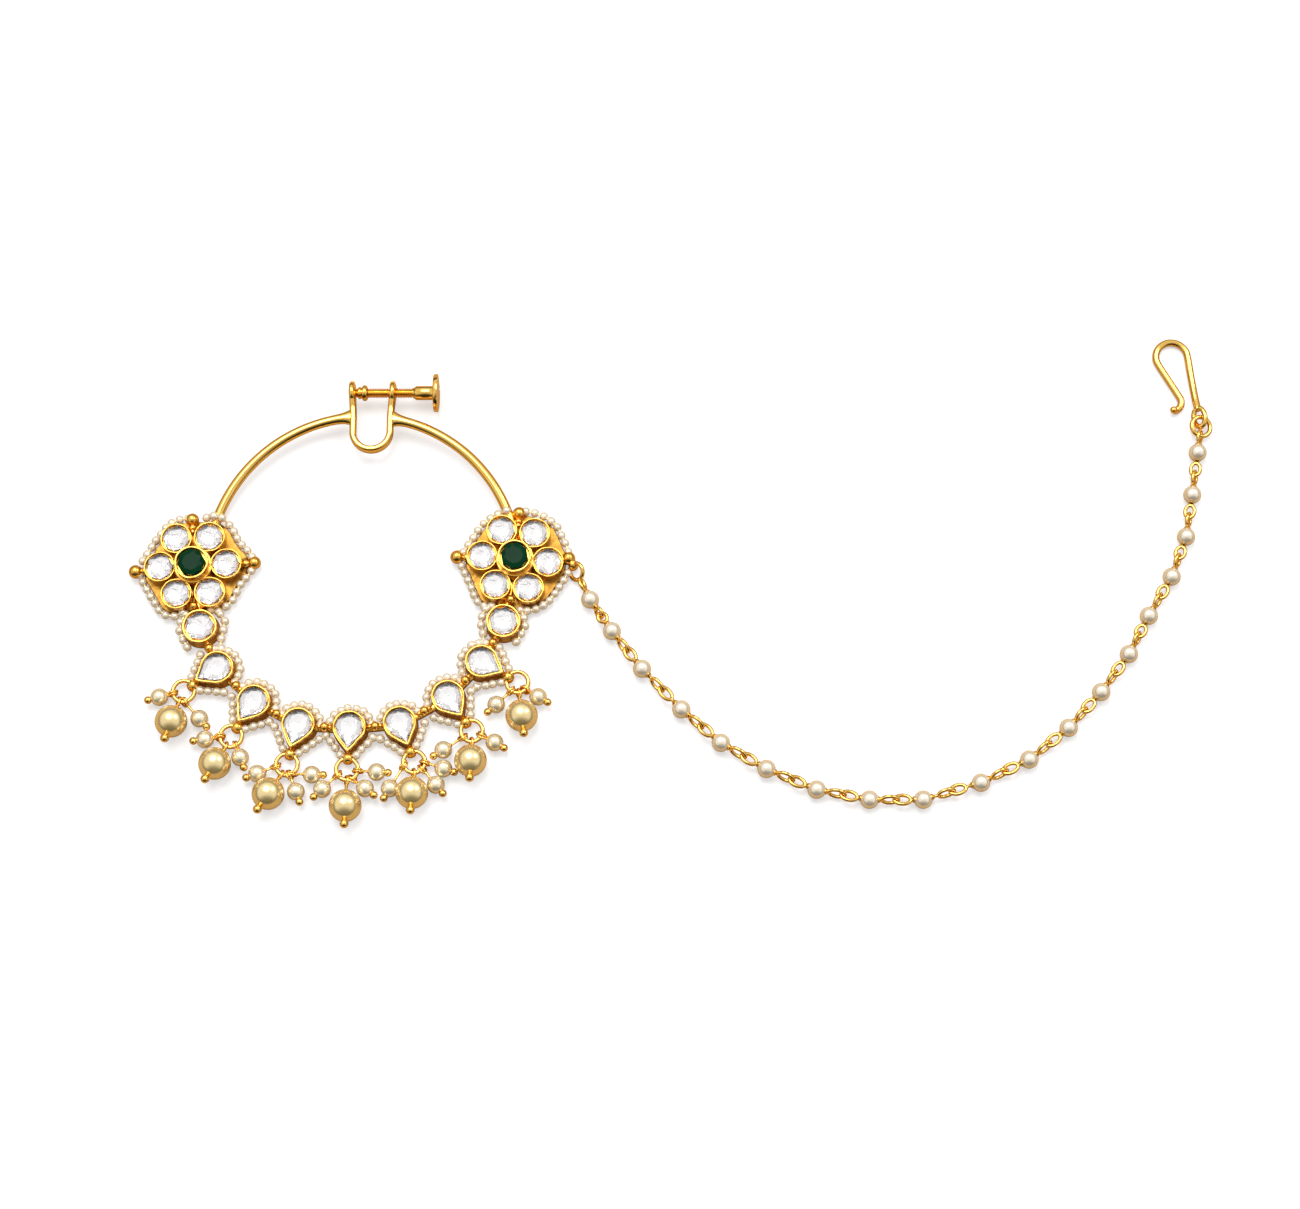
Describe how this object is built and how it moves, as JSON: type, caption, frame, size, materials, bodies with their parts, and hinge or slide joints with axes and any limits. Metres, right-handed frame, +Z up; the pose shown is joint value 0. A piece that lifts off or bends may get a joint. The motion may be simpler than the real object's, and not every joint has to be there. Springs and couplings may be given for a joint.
{
  "type": "kundan nose ring",
  "caption": "Gold hoop nose ring with a screw clip, flower and teardrop stone settings, pearl drops and a pearl support chain with a hook.",
  "frame": {"origin": "middle of the underside of the whole piece, on the surface it lies on", "axes": "+X from the hoop towards the chain and hook, +Y from the crescent of drops towards the screw clip, +Z up out of the stones' faces"},
  "size_m": [0.1744, 0.08, 0.0061],
  "materials": {
    "gold": "polished yellow gold",
    "kundan": "foil-backed clear stone",
    "emerald": "dark green stone",
    "golden_pearl": "golden pearl lustre",
    "cream_pearl": "cream pearl lustre"
  },
  "bodies": {
    "frame": {"hoop_frame": "gold", "chain": "cream_pearl", "flower_ring": "gold", "hook_ring": "gold", "hook": "gold", "emerald_left": "emerald", "emerald_right": "emerald", "round_stone_left": "kundan", "round_stone_right": "kundan", "left_petal_1": "kundan", "left_petal_2": "kundan", "left_petal_3": "kundan", "left_petal_4": "kundan", "left_petal_5": "kundan", "left_petal_6": "kundan", "right_petal_1": "kundan", "right_petal_2": "kundan", "right_petal_3": "kundan", "right_petal_4": "kundan", "right_petal_5": "kundan", "right_petal_6": "kundan", "teardrop_stone_1": "kundan", "large_pearl_1": "golden_pearl", "large_pin_1": "gold", "drop_cluster_1": "cream_pearl", "teardrop_stone_2": "kundan", "large_pearl_2": "golden_pearl", "large_pin_2": "gold", "drop_cluster_2": "cream_pearl", "teardrop_stone_3": "kundan", "large_pearl_3": "golden_pearl", "large_pin_3": "gold", "drop_cluster_3": "cream_pearl", "teardrop_stone_4": "kundan", "large_pearl_4": "golden_pearl", "large_pin_4": "gold", "drop_cluster_4": "cream_pearl", "teardrop_stone_5": "kundan", "large_pearl_5": "golden_pearl", "large_pin_5": "gold", "drop_cluster_5": "cream_pearl", "teardrop_stone_6": "kundan", "large_pearl_6": "golden_pearl", "large_pin_6": "gold", "drop_cluster_6": "cream_pearl", "teardrop_stone_7": "kundan", "large_pearl_7": "golden_pearl", "large_pin_7": "gold", "drop_cluster_7": "cream_pearl"},
    "pad": {"clamp_pad": "gold"},
    "screw": {"clamp_screw": "gold"}
  },
  "joints": [
    {"name": "pad_slide", "type": "slide", "parent": "frame", "child": "pad", "axis": [1, 0, 0], "range_m": [0, 0.00285]},
    {"name": "screw_turn", "type": "hinge", "parent": "pad", "child": "screw", "pos_m": [-0.04974, 0.03187, 0.0031], "axis": [1, 0, 0], "range_deg": [0, 2566]}
  ],
  "couplings": [
    {"joint": "screw_turn", "follows": "pad_slide", "rad_per_m": 15708}
  ]
}
